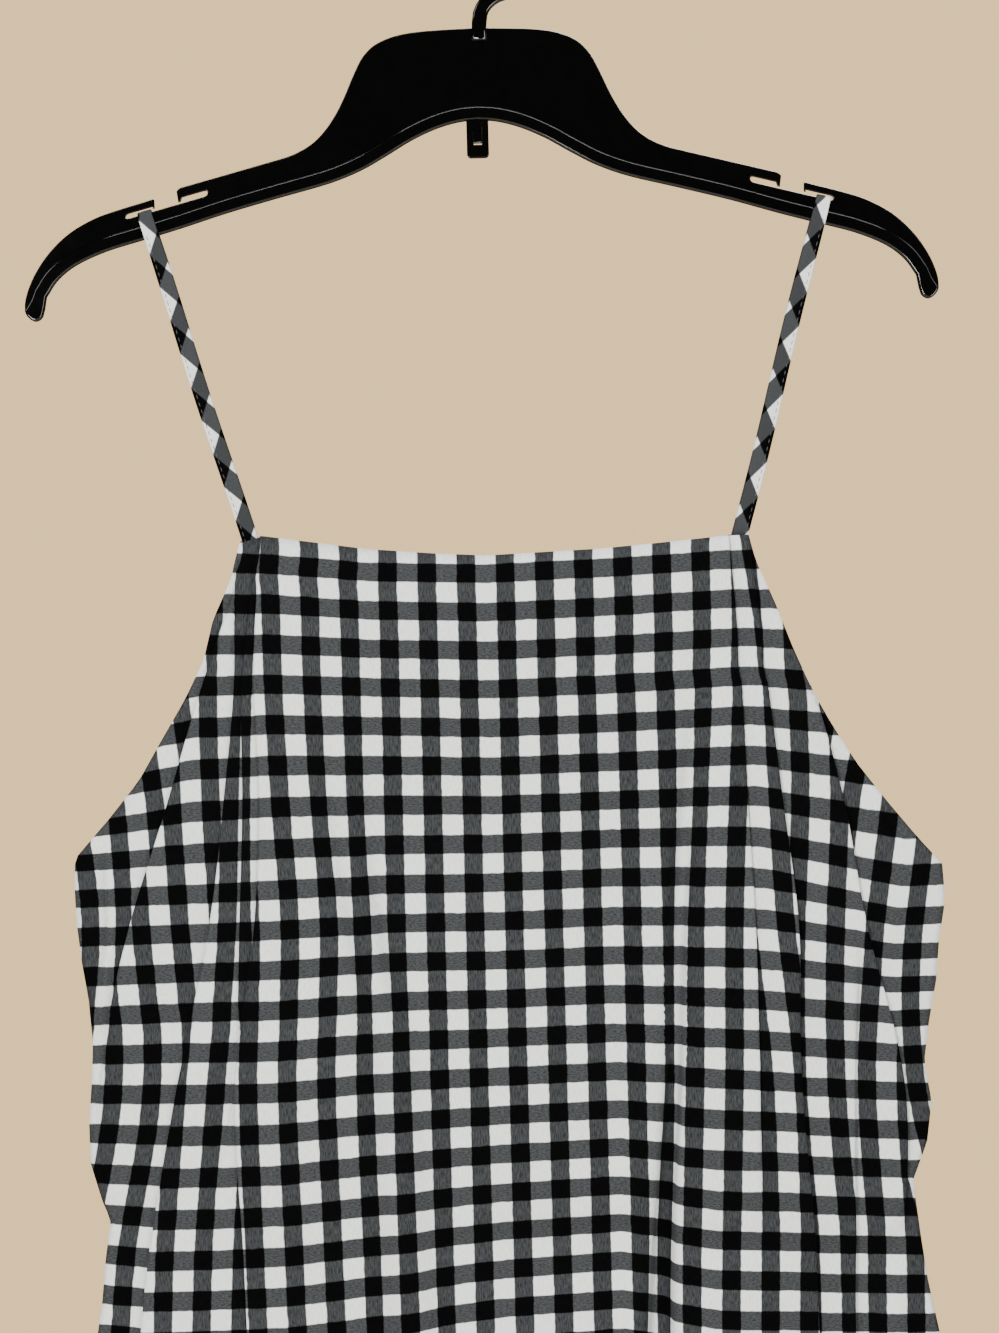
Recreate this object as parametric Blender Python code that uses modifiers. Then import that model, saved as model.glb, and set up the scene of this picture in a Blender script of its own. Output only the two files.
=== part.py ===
"""Gingham mini dress with narrow straps, hanging on a moulded hanger.

The frame: +X to the viewer's right, +Y to the back, +Z up. The origin is the inside top of the
hanger's hook, where the rail bears. Sizes are in millimetres and become metres through MM.
On the cloth, "across" is counted in checks from the centre line and "down" in millimetres
from the middle of the neckline.
"""
import bpy
import bmesh
import math
import numpy as np

MM = 0.001
CHECK = 18.4            # one light and one dark stripe, across the cloth
CLOTH = 1.5             # wall of the cloth
SEAM_GAP = 0.3          # between pieces that are sewn or rest together
HOOK_TO_NOTCH = 140.0   # rail down to the strap notches
NECK_DROP = 165.2       # notches down to the middle of the front neckline
LENGTH = 695.0          # neckline to hem
CENTRE_X = -3.0         # the centre line hangs a little left of the hook
FULLNESS = 4.0          # how squarely the panels round into their side seams

# The garment's outline below the notches: drop, left, right and edge_y. The last is how far the
# cut edges of the front and back stand from the middle plane: apart at the armholes, shut at the
# side seams.
OUTLINE = np.array([
    (154.0, -118.5, 118.8, 7.3),
    (173.0, -123.5, 124.0, 6.9),
    (192.0, -132.5, 132.5, 6.2),
    (211.0, -137.5, 139.8, 5.4),
    (229.0, -146.7, 147.3, 4.6),
    (248.0, -158.3, 157.4, 3.8),
    (267.0, -169.6, 169.0, 2.9),
    (285.0, -184.5, 182.5, 2.1),
    (303.0, -200.8, 197.0, 1.2),
    (316.0, -201.5, 208.5, 0.9),
    (333.0, -201.0, 209.5, 0.9),
    (371.0, -196.0, 204.2, 0.9),
    (390.0, -194.8, 200.4, 0.9),
    (428.0, -197.5, 198.0, 0.9),
    (447.0, -197.3, 196.1, 0.9),
    (465.0, -192.2, 190.9, 0.9),
    (474.0, -188.5, 191.8, 0.9),
    (513.0, -193.5, 196.7, 0.9),
    (620.0, -212.0, 218.0, 0.9),
    (740.0, -233.0, 241.0, 0.9),
    (880.0, -252.0, 262.0, 0.9),
])

# The flat cloth: down, left and right half widths in checks, and how far the middle stands out
# from the edges.
FRONT_CUT = np.array([
    (0.0, 8.3, 8.8, 3.0),
    (28.0, 8.8, 9.3, 6.0),
    (55.0, 9.7, 10.0, 9.5),
    (85.0, 11.6, 11.0, 13.0),
    (110.0, 13.0, 12.0, 16.0),
    (132.0, 14.4, 13.5, 18.0),
    (165.0, 14.2, 13.3, 20.0),
    (240.0, 12.6, 13.1, 22.0),
    (315.0, 11.6, 12.8, 22.0),
    (450.0, 13.4, 14.3, 29.0),
    (695.0, 16.6, 17.2, 42.0),
])
BACK_CUT = np.array([
    (0.0, 6.4, 6.6, 2.5),
    (55.0, 8.0, 8.1, 7.0),
    (110.0, 10.3, 10.4, 10.0),
    (132.0, 12.1, 12.6, 11.0),
    (165.0, 12.2, 12.7, 12.0),
    (240.0, 12.0, 12.4, 14.0),
    (315.0, 11.6, 12.1, 14.0),
    (450.0, 13.4, 13.9, 22.0),
    (695.0, 16.4, 17.0, 36.0),
])

# Upright folds: name, place across in checks and take-up in mm at the five stations down, half
# width at the neckline and the hem, pressed share and direction. A pressed tuck hides most of its
# cloth at the neckline. Toward 1 is a trough, -1 a ridge.
FOLD_STATIONS = (0.0, 110.0, 200.0, 315.0, LENGTH)
TUCK_RELEASE = 60.0     # below this a pressed tuck is open
FRONT_FOLDS = (
    ("left tuck", (-6.5, -6.8, -7.0, -7.0, -7.4), (27.5, 20, 20, 17, 16), (15, 34), 0.9, 1),
    ("beside left tuck", (-8.1, -7.9, -8.5, -8.9, -9.4), (0, 11, 4, 0, 0), (9, 14), 0, 1),
    ("left side", (-9.1, -9.3, -9.7, -9.9, -10.8), (0, 12, 12, 3, 14), (12, 28), 0, 1),
    ("left armhole", (-11.0, -11.4, -12.2, -12.4, -13.9), (0, 12, 4, 0, 12), (12, 30), 0, -1),
    ("left of middle", (-4.2, -3.9, -3.2, -2.4, -3.2), (0, 3, 3, 2.5, 10), (16, 38), 0, 1),
    ("right tuck", (7.1, 7.0, 7.4, 7.5, 7.4), (27.5, 19, 10, 3, 5), (15, 24), 0.9, 1),
    ("beside right tuck", (8.7, 8.8, 9.1, 8.9, 10.2), (0, 10, 16, 18, 17), (13, 31), 0, 1),
    ("right of middle", (5.6, 5.4, 5.0, 4.5, 4.2), (0, 2.5, 7, 11, 13), (11, 34), 0, 1),
    ("right side", (10.4, 11.0, 11.3, 10.9, 13.8), (0, 3, 4, 7, 14), (10, 32), 0, -1),
)
BACK_FOLDS = (
    ("left blade", (-4.4, -4.6, -4.8, -5.0, -5.2), (0, 5, 8, 9, 15), (14, 34), 0, 1),
    ("left side", (-6.0, -7.6, -8.2, -8.4, -10.0), (0, 4, 6, 4, 14), (12, 32), 0, -1),
    ("left hip", (-6.0, -10.0, -10.6, -10.6, -13.8), (0, 0, 2, 3, 12), (10, 28), 0, -1),
    ("middle", (0.4, 0.2, -0.4, -1.0, -1.4), (0, 2, 4, 5, 14), (16, 38), 0, 1),
    ("right blade", (3.6, 3.2, 3.0, 2.8, 3.2), (0, 4, 6, 7, 13), (14, 34), 0, 1),
    ("right side", (6.2, 7.6, 7.4, 7.2, 7.9), (0, 5, 9, 8, 16), (12, 34), 0, -1),
    ("right hip", (6.2, 10.6, 11.0, 11.0, 13.2), (0, 0, 3, 4, 13), (10, 30), 0, -1),
)

# How much lower than the centre line each row of checks hangs, in mm, at nine places
# across, in checks. The first row is the shape of the neckline.
SAG_ACROSS = (-14.0, -10.0, -6.0, -3.0, 0.0, 3.0, 5.5, 8.0, 13.0)
FRONT_SAG = (
    (0.0, (-12, -12, -9.9, -4, 0, -1.3, -3, -4.2, -5)),
    (110.0, (10, -1, -2.5, -1.8, 0, -0.8, -1.8, -1.5, 14)),
    (132.0, (5.5, 1, -0.5, -1, 0, -1, -1, 0, 20)),
    (215.0, (5, 3.5, 3.5, 0, 0, -1, 1.5, 5, 15)),
    (320.0, (6, 12, 10.5, 5, 0, -2.5, 6.5, 9, 15)),
    (LENGTH, (9, 8, 9, 4, 0, -1, 5, 8, 11)),
)
BACK_SAG = (
    (0.0, (-12, -10.5, -9, 3, 6, 2.5, -4.5, -5.5, -5.5)),
    (132.0, (7, 3, 2, 1, 2, 1, 2, 4, 21)),
    (320.0, (9, 8, 5, 2, 1, 2, 4, 7, 14)),
    (LENGTH, (9, 7, 5, 2, 0, 2, 4, 6, 11)),
)

# Grid rows down the cloth, closer where the shape changes
ROWS_DOWN = (0, 14, 30, 50, 72, 92, 110, 132, 150, 172, 200, 228, 256, 284, 312, 342,
             380, 430, 490, 560, 630, LENGTH)
FRONT_COLUMNS = 60
BACK_COLUMNS = 44
FINE_STEPS = 1201       # points that a row is worked out on
COLUMN_ROOM = 5.0       # least room for a fold's column near the cut edge
FOLD_DENSITY = 2.2

# Straps, each one narrow bias-cut loop over the hanger
STRAP_WIDTH = 7.4
STRAP_Y = 4.7           # front and back runs from the middle plane, at the hanger
STRAP_NECK_Y = 4.1      # and at the neckline
STRAP_TAIL = 9.0        # sewn inside the neckline
STRAP_ENDS = {          # x at the notch, x at the neckline, drop at the neckline
    "strap_left": (-160.3, -114.5, 154.8),
    "strap_right": (160.5, 116.4, 160.6),
}
STRAP_OVER = (          # from the web's cloth line outward, and above the web's top edge
    (2.45, -6.6), (2.45, -5.1), (1.7, -3.4), (0.4, -2.0), (0.1, -0.4), (-0.05, 0.45), (-0.85, 1.15), (-1.75, 1.2),
)
STRAP_ROWS = 10         # down each run, as far up as STRAP_RUN_TOP below the web's top edge
STRAP_RUN_TOP = 14.0
STRAP_TURN = -2.0       # above this a strap follows the slope of the arm

# Hanger, one moulding: a thin web with a wide flange along its lower edge
BODY_X = -1.9           # the body hangs this far left of the hook
WEB = 2.4
FLANGE = 7.0
FLANGE_HEIGHT = 6.2
HOOK_THICK = 5.0
HOOK_BAND = 7.0
HOOK_RADIUS = 20.0      # inside
HOOK_STEPS = 30
HOOK_ANGLES = (200.0, -52.0)    # from the tip over the rail to the neck
HOOK_NECK = ((9.0, 15.3), (3.6, 11.5), (0.8, 6.5), (0.0, -6.0))     # x, and above the plate's top
HOOK_TIP_TURNS = (36.0, 72.0, 108.0, 144.0)
SLOTS = (2.7, 2.3)      # heights of the inner and the outer slot of a notch
SLOT_ENDS = (128.2, 167.3)
SLOT_END = ((1.6, 1.0), (0.4, 0.8), (0.0, 0.5), (0.4, 0.2), (1.6, 0.0))  # in from the end, share of the height
ARM_SLOPE = -0.262
SLOT_LINE = (141.5, 5.0)
PLATE_TOP = 84.5
HANGER_TOP_EDGE = (
    (0, 84.5), (30, 83.0), (45, 79.0), (53, 72.5), (58, 63.5), (62.5, 53.5), (67, 45), (72.5, 37.3),
    (79, 31.2), (88, 26.6), (100, 23.2), (141.2, 12.5),
)
HANGER_LIPS = (         # the inner lip's hooked tip, then the outer one's: from the middle, above the line
    ((142.2, 6.9), (142.9, 6.2), (142.2, 0.9), (141.0, 0.8), (140.4, 2.7)),
    ((154.4, 2.3), (154.3, 1.3), (153.4, 1.3), (153.5, 5.3), (154.1, 5.8)),
)
HANGER_ARM_EDGE = (
    (158.5, 6.2), (170, 3.0), (182, -1.0), (194, -7.6), (204, -16.8), (211.3, -27.4), (215.2, -37),
    (215.9, -43.5), (214.0, -47.3), (211.0, -48.8), (208.0, -47.2), (206.6, -43.2),
)
HANGER_UNDERSIDE = (
    (205.6, -37.5), (200, -29.5), (191, -22.6), (177, -16.6), (160, -11.8), (140.8, -6.4),
    (119, 0.2), (95, 6.6), (71, 12.8), (56, 18.4), (44, 24.8), (32, 31.8), (20, 37.2), (9, 40.2), (0, 41),
)
FLANGE_TIP = ((212.5, -38.5), (215.2, -43.0))
TAB_WIDTH = 10.4
TAB_LENGTH = 18.0
TAB_THICK = 4.9
TAB_CORNER = 1.6
TAB_ROOT = 2.0          # inside the flange
TAB_SLOT = (3.8, 1.0)   # wide and high, and TAB_SLOT_UP above the foot
TAB_SLOT_UP = 6.0
CUTTER_DEPTH = 20.0


def start_scene():
    """Empty the scene and add the collections for the parts and the cutters."""
    for thing in list(bpy.data.objects):
        bpy.data.objects.remove(thing, do_unlink=True)
    parts = bpy.data.collections.new("mini_dress_on_hanger")
    cutters = bpy.data.collections.new("cutters")
    bpy.context.scene.collection.children.link(parts)
    bpy.context.scene.collection.children.link(cutters)
    return parts, cutters


def material(name, colour, roughness, specular=0.5):
    """A plain Principled material."""
    result = bpy.data.materials.new(name)
    result.use_nodes = True
    shader = result.node_tree.nodes["Principled BSDF"]
    shader.inputs["Base Color"].default_value = (*colour, 1.0)
    shader.inputs["Roughness"].default_value = roughness
    shader.inputs["Specular IOR Level"].default_value = specular
    return result


def curve_between(stations, values, place):
    """Value at a place on a smooth curve through the values at the stations."""
    stations = np.asarray(stations, dtype=float)
    values = np.asarray(values, dtype=float)
    slopes = np.gradient(values, stations, axis=0)
    index = int(np.clip(np.searchsorted(stations, place) - 1, 0, len(stations) - 2))
    gap = stations[index + 1] - stations[index]
    share = min(max((place - stations[index]) / gap, 0.0), 1.0)
    start = (1 + 2 * share) * (1 - share) ** 2 * values[index] + share * (1 - share) ** 2 * gap * slopes[index]
    end = share ** 2 * (3 - 2 * share) * values[index + 1] - share ** 2 * (1 - share) * gap * slopes[index + 1]
    return start + end


def slope_table():
    """Steepest slopes, in radians, and the share of its cloth that a fold so steep takes up."""
    slopes = np.linspace(0.0, 2.0, 81)
    around = np.linspace(0.0, math.pi, 181)
    shares = [1.0 - np.mean(np.cos(slope * np.sin(around))) for slope in slopes]
    return slopes, np.array(shares)


SLOPES, SHARES = slope_table()


def fold_at(fold, down):
    """One fold's middle (mm), half width, take-up, pressed share and direction at a row."""
    _, across, takes_up, half_width, pressed, toward = fold
    middle = float(curve_between(FOLD_STATIONS, across, down)) * CHECK
    taken = max(float(curve_between(FOLD_STATIONS, takes_up, down)), 0.0)
    half = float(np.interp(down, (0.0, LENGTH), half_width))
    released = min(down / TUCK_RELEASE, 1.0)
    return middle, half, taken, pressed * (1.0 - released), toward


def panel_row(down, cut, folds, sag, side):
    """One row of a panel, finely: across the cloth, x, y and z. The front has side -1, the back 1."""
    left_cut, right_cut, depth = (np.interp(down, cut[:, 0], cut[:, column]) for column in (1, 2, 3))
    fine = np.linspace(-left_cut * CHECK, right_cut * CHECK, FINE_STEPS)
    slope = np.zeros_like(fine)
    shown = np.ones_like(fine)
    for fold in folds:
        middle, half, taken, pressed, toward = fold_at(fold, down)
        place = (fine - middle) / half
        inside = np.abs(place) < 1.0
        share = max((taken / (2.0 * half) - pressed) / (1.0 - pressed), 0.0)
        steepest = np.interp(share, SHARES, SLOPES)
        slope[inside] += toward * steepest * np.sin(math.pi * -place[inside])
        shown[inside] *= 1.0 - pressed
    step = fine[1] - fine[0]
    run = np.concatenate(([0.0], np.cumsum((np.cos(slope) * shown)[:-1]) * step))
    lift = np.concatenate(([0.0], np.cumsum((np.sin(slope) * shown)[:-1]) * step))
    lift -= lift[-1] * run / run[-1]
    run -= np.interp(0.0, fine, run)
    sag_row = curve_between([row[0] for row in sag], [row[1] for row in sag], down)
    drop = NECK_DROP + down + np.interp(fine / CHECK, SAG_ACROSS, sag_row)
    left_x = np.interp(drop[0], OUTLINE[:, 0], OUTLINE[:, 1])
    right_x = np.interp(drop[-1], OUTLINE[:, 0], OUTLINE[:, 2])
    reach = np.where(run < 0.0, (CENTRE_X - left_x) / -run[0], (right_x - CENTRE_X) / run[-1])
    x = CENTRE_X + run * reach
    span = np.where(run < 0.0, CENTRE_X - left_x, right_x - CENTRE_X)
    beside = np.clip(np.abs(x - CENTRE_X) / span, 0.0, 1.0)
    edge_y = np.interp(drop, OUTLINE[:, 0], OUTLINE[:, 3])
    y = side * (edge_y + depth * (1.0 - beside ** FULLNESS) - lift)
    z = -(HOOK_TO_NOTCH + drop)
    return fine, x, y, z


def column_places(down, cut, folds, count):
    """Where the grid's columns cross a row, in mm. A column follows each fold, with more near it."""
    edges = [sign * np.interp(down, cut[:, 0], cut[:, column]) * CHECK for sign, column in ((-1, 1), (1, 2))]
    settings = sorted(fold_at(fold, down)[:3] for fold in folds)
    anchors = np.array([edges[0]] + [middle for middle, _, _ in settings] + [edges[1]])
    order = np.arange(len(anchors))
    anchors = np.maximum(anchors, edges[0] + order * COLUMN_ROOM)
    anchors = np.minimum(anchors, edges[1] - order[::-1] * COLUMN_ROOM)
    fine = np.linspace(edges[0], edges[1], FINE_STEPS)
    density = np.ones_like(fine)
    for middle, half, taken in settings:
        density += FOLD_DENSITY * min(1.0, 1.5 * taken / half) * np.exp(-((fine - middle) / half) ** 2)
    filled = np.concatenate(([0.0], np.cumsum(density[:-1] + density[1:])))
    levels = np.interp(anchors, fine, filled)
    places = [edges[0]]
    for start, end, number in zip(levels, levels[1:], count):
        places += list(np.interp(np.linspace(start, end, number + 1)[1:], filled, fine))
    return np.array(places)


def columns_between_folds(cut, folds, total):
    """How many columns go between neighbouring folds, set where the cloth is widest."""
    edges = [sign * np.interp(FOLD_STATIONS[2], cut[:, 0], cut[:, column]) * CHECK
             for sign, column in ((-1, 1), (1, 2))]
    middles = sorted(fold_at(fold, FOLD_STATIONS[2])[0] for fold in folds)
    gaps = np.diff([edges[0]] + middles + [edges[1]])
    share = np.sqrt(gaps / gaps.sum())
    return np.maximum(np.round(total * share / share.sum()), 2).astype(int)


def sheet_object(name, rows, thickness, flip, parts, look):
    """A grid of points made a cloth wall by Solidify. flip turns the faces' outer side."""
    mesh = bpy.data.meshes.new(name)
    grid = bmesh.new()
    across = len(rows[0])
    bmesh.ops.create_grid(grid, x_segments=across - 1, y_segments=len(rows) - 1, size=1.0)
    grid.verts.ensure_lookup_table()
    for index, vertex in enumerate(grid.verts):
        vertex.co = [value * MM for value in rows[index // across][index % across]]
    if flip:
        bmesh.ops.reverse_faces(grid, faces=grid.faces[:])
    grid.to_mesh(mesh)
    grid.free()
    result = bpy.data.objects.new(name, mesh)
    parts.objects.link(result)
    mesh.materials.append(look)
    mesh.shade_smooth()
    wall = result.modifiers.new("wall", "SOLIDIFY")
    wall.thickness = thickness * MM
    wall.offset = 0.0
    return result


def panel(name, cut, folds, sag, side, columns, parts, look):
    """A dress panel from its rows."""
    count = columns_between_folds(cut, folds, columns)
    rows = []
    for down in ROWS_DOWN:
        fine, x, y, z = panel_row(down, cut, folds, sag, side)
        places = column_places(down, cut, folds, count)
        rows.append([tuple(np.interp(place, fine, line) for line in (x, y, z)) for place in places])
    return sheet_object(name, rows, CLOTH, side < 0, parts, look)


def strap(name, parts, look):
    """A strap loop: up the front, over the hanger's web in its notch and down the back."""
    top_x, neck_x, neck_drop = STRAP_ENDS[name]
    web_top = above_line(abs(top_x - BODY_X))
    clear = WEB / 2 + SEAM_GAP + CLOTH / 2
    falls = np.linspace(neck_drop + STRAP_TAIL, STRAP_RUN_TOP, STRAP_ROWS)
    profile = [(-np.interp(fall, (STRAP_RUN_TOP, neck_drop), (STRAP_Y, STRAP_NECK_Y)), -web_top - fall)
               for fall in falls]
    profile += [(-clear - outward, above) for outward, above in STRAP_OVER]
    profile += [(-y, height) for y, height in reversed(profile)]
    lean = (neck_x - top_x) / neck_drop
    length = math.hypot(1.0, lean)
    rows = []
    for y, height in profile:
        z = web_top + height
        middle_x = top_x - lean * min(z, 0.0)
        side_x = STRAP_WIDTH / 2 / length
        side_z = side_x * (lean if z < STRAP_TURN else ARM_SLOPE * math.copysign(1.0, top_x))
        rows.append([(middle_x - side_x, y, z - side_z - HOOK_TO_NOTCH),
                     (middle_x + side_x, y, z + side_z - HOOK_TO_NOTCH)])
    return sheet_object(name, rows, CLOTH, False, parts, look)


def rounded(points, steps):
    """A line through all the points, curved between them."""
    points = np.array(points, dtype=float)
    padded = np.vstack((2 * points[0] - points[1], points, 2 * points[-1] - points[-2]))
    line = []
    for before, start, end, after in zip(padded, padded[1:], padded[2:], padded[3:]):
        for share in np.arange(steps) / steps:
            line.append(0.5 * (2 * start + (end - before) * share
                               + (2 * before - 5 * start + 4 * end - after) * share ** 2
                               + (3 * start - before - 3 * end + after) * share ** 3))
    return [tuple(point) for point in line] + [tuple(points[-1])]


def offset_line(points, distance):
    """The line moved sideways, to the left of its direction."""
    points = np.array(points)
    along = np.gradient(points, axis=0)
    along /= np.linalg.norm(along, axis=1)[:, None]
    return [tuple(point) for point in points + distance * np.column_stack((-along[:, 1], along[:, 0]))]


def plate(name, outline, thickness, collection, look):
    """A flat outline in X and Z, extruded to its thickness about the middle plane, as a mesh."""
    curve = bpy.data.curves.new(name, "CURVE")
    curve.dimensions = "2D"
    curve.fill_mode = "BOTH"
    curve.extrude = thickness / 2 * MM
    line = curve.splines.new("POLY")
    line.points.add(len(outline) - 1)
    for point, (x, z) in zip(line.points, outline):
        point.co = (x * MM, z * MM, 0.0, 1.0)
    line.use_cyclic_u = True
    flat = bpy.data.objects.new(name + "_curve", curve)
    flat.rotation_euler = (math.pi / 2, 0.0, 0.0)
    collection.objects.link(flat)
    bpy.context.view_layer.update()
    mesh = bpy.data.meshes.new_from_object(flat.evaluated_get(bpy.context.evaluated_depsgraph_get()))
    welded = bmesh.new()
    welded.from_mesh(mesh)
    bmesh.ops.remove_doubles(welded, verts=welded.verts[:], dist=0.01 * MM)
    bmesh.ops.recalc_face_normals(welded, faces=welded.faces[:])
    welded.to_mesh(mesh)
    welded.free()
    solid = bpy.data.objects.new(name, mesh)
    solid.matrix_world = flat.matrix_world.copy()
    collection.objects.link(solid)
    bpy.data.objects.remove(flat, do_unlink=True)
    mesh.materials.clear()
    mesh.materials.append(look)
    return solid


def join(target, tool, operation):
    """Unite the tool with the target, or cut it away, and keep the tool as a guide."""
    step = target.modifiers.new(tool.name, "BOOLEAN")
    step.operation = operation
    step.solver = "EXACT"
    step.object = tool
    tool.display_type = "WIRE"
    tool.hide_render = True


def above_line(x, above=0.0):
    """A height above the line that the straps' slots stand on."""
    return SLOT_LINE[1] + ARM_SLOPE * (x - SLOT_LINE[0]) + above


def both_sides(half):
    """A closed outline of the body from its right half, which starts and ends on the middle line."""
    left = [(-x, z) for x, z in reversed(half) if x > 0.0]
    return [(x + BODY_X, z - HOOK_TO_NOTCH) for x, z in list(half) + left]


def notch_edge():
    """The inner lip's hook and slot, the open recess, and the outer slot and lip's hook."""
    inner = [(SLOT_ENDS[0] + within, SLOTS[0] * up) for within, up in SLOT_END]
    outer = [(SLOT_ENDS[1] - within, SLOTS[1] * up) for within, up in reversed(SLOT_END)]
    edge = list(HANGER_LIPS[0]) + inner + outer + list(HANGER_LIPS[1])
    return [(x, above_line(x, above)) for x, above in edge]


def hanger(parts, cutters, look):
    """The moulded hanger: web, flange, hook and the small tab under its middle."""
    underside = rounded(HANGER_UNDERSIDE, 2)
    top_edge = rounded(HANGER_TOP_EDGE, 2)
    arm_edge = rounded(HANGER_ARM_EDGE, 2)
    half_web = top_edge + notch_edge() + arm_edge + underside
    body = plate("hanger", both_sides(half_web), WEB, parts, look)

    flange_low = arm_edge[-9:] + underside
    flange_high = offset_line(underside, -FLANGE_HEIGHT)
    half_flange = [(0.0, flange_high[-1][1])] + flange_high[-2::-1] + list(FLANGE_TIP) + flange_low
    flange = plate("hanger_flange", both_sides(half_flange), FLANGE, cutters, look)

    middle_radius = HOOK_RADIUS + HOOK_BAND / 2
    turns = np.radians(np.linspace(*HOOK_ANGLES, HOOK_STEPS))
    centre_line = [(middle_radius * math.cos(turn), middle_radius * math.sin(turn) - HOOK_RADIUS) for turn in turns]
    plate_top = PLATE_TOP - HOOK_TO_NOTCH
    centre_line += [(x, plate_top + above) for x, above in HOOK_NECK]
    outer = offset_line(centre_line, HOOK_BAND / 2)
    inner = offset_line(centre_line, -HOOK_BAND / 2)
    tip_middle = np.array(centre_line[0])
    tip_out = np.array(outer[0]) - tip_middle
    tip_on = np.array((-tip_out[1], tip_out[0]))
    tip_round = [tuple(tip_middle - math.cos(turn) * tip_out + math.sin(turn) * tip_on)
                 for turn in np.radians(HOOK_TIP_TURNS)]
    hook = plate("hanger_hook", outer + inner[::-1] + tip_round, HOOK_THICK, cutters, look)

    tab_top = HANGER_UNDERSIDE[-1][1] + TAB_ROOT - HOOK_TO_NOTCH
    tab_low = HANGER_UNDERSIDE[-1][1] - TAB_LENGTH - HOOK_TO_NOTCH
    half = TAB_WIDTH / 2
    tab_outline = [(-half, tab_top), (-half, tab_low + TAB_CORNER), (-half + TAB_CORNER, tab_low),
                   (half - TAB_CORNER, tab_low), (half, tab_low + TAB_CORNER), (half, tab_top)]
    tab_outline = [(x + BODY_X, z) for x, z in tab_outline]
    tab = plate("hanger_tab", tab_outline, TAB_THICK, cutters, look)
    wide, high = TAB_SLOT
    low = tab_low + TAB_SLOT_UP
    slot_outline = [(BODY_X + side * wide / 2, low + up)
                    for side, up in ((-1, 0.0), (1, 0.0), (1, high), (-1, high))]
    slot = plate("hanger_tab_slot", slot_outline, CUTTER_DEPTH, cutters, look)

    for tool in (flange, hook, tab):
        join(body, tool, "UNION")
    join(body, slot, "DIFFERENCE")
    return body


def build():
    parts, cutters = start_scene()
    cloth = material("gingham_cotton", (0.10, 0.105, 0.11), 0.9, 0.2)
    bias = material("gingham_bias_strap", (0.06, 0.065, 0.07), 0.9, 0.2)
    plastic = material("gloss_black_plastic", (0.006, 0.006, 0.007), 0.18)
    panel("front", FRONT_CUT, FRONT_FOLDS, FRONT_SAG, -1, FRONT_COLUMNS, parts, cloth)
    panel("back", BACK_CUT, BACK_FOLDS, BACK_SAG, 1, BACK_COLUMNS, parts, cloth)
    for name in STRAP_ENDS:
        strap(name, parts, bias)
    hanger(parts, cutters, plastic)


build()
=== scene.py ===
"""The looks of a gingham mini dress on a moulded hanger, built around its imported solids.

The frame is the solids' own: metres, +X to the viewer's right, +Y to the back, +Z up, and the
origin at the inside top of the hanger's hook. Sizes here are in millimetres and go through MM.
"""
import math

import bmesh
import bpy
import numpy as np
from mathutils import Euler, Matrix, Vector


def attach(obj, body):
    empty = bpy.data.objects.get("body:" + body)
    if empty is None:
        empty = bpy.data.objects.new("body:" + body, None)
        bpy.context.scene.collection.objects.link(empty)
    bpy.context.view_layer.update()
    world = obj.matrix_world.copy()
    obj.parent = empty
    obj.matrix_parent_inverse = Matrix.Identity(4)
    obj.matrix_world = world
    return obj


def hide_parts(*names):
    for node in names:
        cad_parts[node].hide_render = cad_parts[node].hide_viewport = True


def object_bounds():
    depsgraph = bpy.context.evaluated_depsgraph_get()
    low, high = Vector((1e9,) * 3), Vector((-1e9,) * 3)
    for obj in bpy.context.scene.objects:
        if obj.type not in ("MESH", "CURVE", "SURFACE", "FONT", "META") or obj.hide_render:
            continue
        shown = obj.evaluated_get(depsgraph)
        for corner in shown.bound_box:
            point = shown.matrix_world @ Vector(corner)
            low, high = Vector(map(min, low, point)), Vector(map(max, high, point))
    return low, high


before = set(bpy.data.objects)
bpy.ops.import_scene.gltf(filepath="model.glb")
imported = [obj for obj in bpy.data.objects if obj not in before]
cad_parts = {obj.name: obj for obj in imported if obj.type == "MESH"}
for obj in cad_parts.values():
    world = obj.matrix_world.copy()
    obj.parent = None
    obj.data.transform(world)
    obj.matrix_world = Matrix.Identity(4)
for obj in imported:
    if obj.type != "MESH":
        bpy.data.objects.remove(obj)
cad_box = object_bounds()
MM = 0.001


# Front of the dress
# One piece of plain-woven cotton gingham, cut on the straight with a shallow square neck and two
# pressed tucks under the straps, which open into long soft folds. Its edges are turned in and
# its sides are seamed to the back.
CHECK = 18.4            # one light and one dark stripe across, mm
CHECK_DOWN = 18.1
HOOK_TO_NOTCH = 140.0
NECK_DROP = 165.2
LENGTH = 695.0
CENTRE_X = -3.0
FULLNESS = 4.0
SHEET = 0.6             # the scene's cloth, thin in place of the solids' wall
OUTLINE = np.array([    # drop below the notches, left, right, edge from the middle plane
    (154.0, -118.5, 118.8, 7.3),
    (173.0, -123.5, 124.0, 6.9),
    (192.0, -132.5, 132.5, 6.2),
    (211.0, -137.5, 139.8, 5.4),
    (229.0, -146.7, 147.3, 4.6),
    (248.0, -158.3, 157.4, 3.8),
    (267.0, -169.6, 169.0, 2.9),
    (285.0, -184.5, 182.5, 2.1),
    (303.0, -200.8, 197.0, 1.2),
    (316.0, -201.5, 208.5, 0.7),
    (333.0, -201.0, 209.5, 0.5),
    (352.0, -199.0, 206.1, 0.5),
    (371.0, -196.0, 204.2, 0.5),
    (390.0, -194.8, 200.4, 0.5),
    (409.0, -195.8, 197.6, 0.5),
    (428.0, -197.5, 200.6, 0.5),
    (447.0, -197.3, 198.0, 0.5),
    (465.0, -192.2, 190.9, 0.5),
    (474.0, -188.5, 191.8, 0.5),
    (493.0, -191.4, 194.0, 0.5),
    (513.0, -193.5, 196.7, 0.5),
    (620.0, -212.0, 218.0, 0.5),
    (740.0, -233.0, 241.0, 0.5),
    (880.0, -252.0, 262.0, 0.5),
])
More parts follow.
